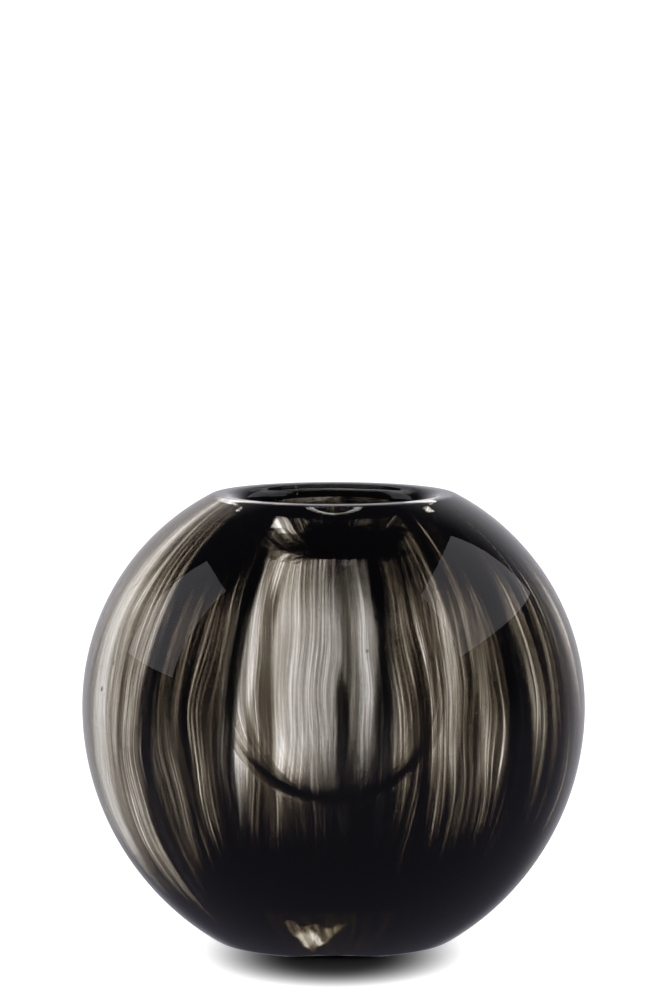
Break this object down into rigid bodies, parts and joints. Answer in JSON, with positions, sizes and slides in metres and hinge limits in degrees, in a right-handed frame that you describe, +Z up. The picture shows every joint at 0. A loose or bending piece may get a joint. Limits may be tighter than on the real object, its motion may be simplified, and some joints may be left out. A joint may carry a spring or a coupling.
{
  "type": "bud vase",
  "caption": "Heavy ball-shaped bud vase of cased glass: smoke and brown-black colour trails run down from a funnel mouth into a dark base round a small clear cavity.",
  "frame": {"origin": "centre of the base, on the surface the vase stands on", "axes": "+Z up along the axis of the ball, -Y towards the front, +X to the right seen from the front"},
  "size_m": [0.112, 0.112, 0.1],
  "materials": {
    "clear_glass": "fire-polished, clear, slightly seedy hand-blown glass",
    "black_glass": "near-black glass colour, faintly violet, opaque at this depth",
    "dark_brown_glass": "dark brown glass colour with fine lighter threads",
    "brown_glass": "mid-brown translucent glass colour with fine threads",
    "smoke_glass": "pale grey-brown smoke glass colour"
  },
  "bodies": {
    "root": {"casing": "clear_glass", "core": "clear_glass", "colour_cup": "black_glass", "trail_01": "smoke_glass", "trail_02": "black_glass", "trail_03": "dark_brown_glass", "trail_04": "dark_brown_glass", "trail_05": "black_glass", "trail_06": "dark_brown_glass", "trail_07": "black_glass", "trail_08": "black_glass", "trail_09": "brown_glass", "trail_10": "brown_glass", "trail_11": "dark_brown_glass", "trail_12": "dark_brown_glass", "trail_13": "black_glass", "trail_14": "brown_glass", "trail_15": "brown_glass", "trail_16": "dark_brown_glass", "trail_17": "dark_brown_glass", "trail_18": "brown_glass", "trail_19": "black_glass", "trail_20": "dark_brown_glass", "trail_21": "brown_glass", "trail_22": "dark_brown_glass", "trail_23": "smoke_glass", "trail_24": "brown_glass", "trail_25": "smoke_glass", "trail_26": "dark_brown_glass", "trail_27": "brown_glass", "trail_28": "dark_brown_glass", "trail_29": "brown_glass", "trail_30": "dark_brown_glass", "trail_31": "smoke_glass"}
  },
  "joints": []
}
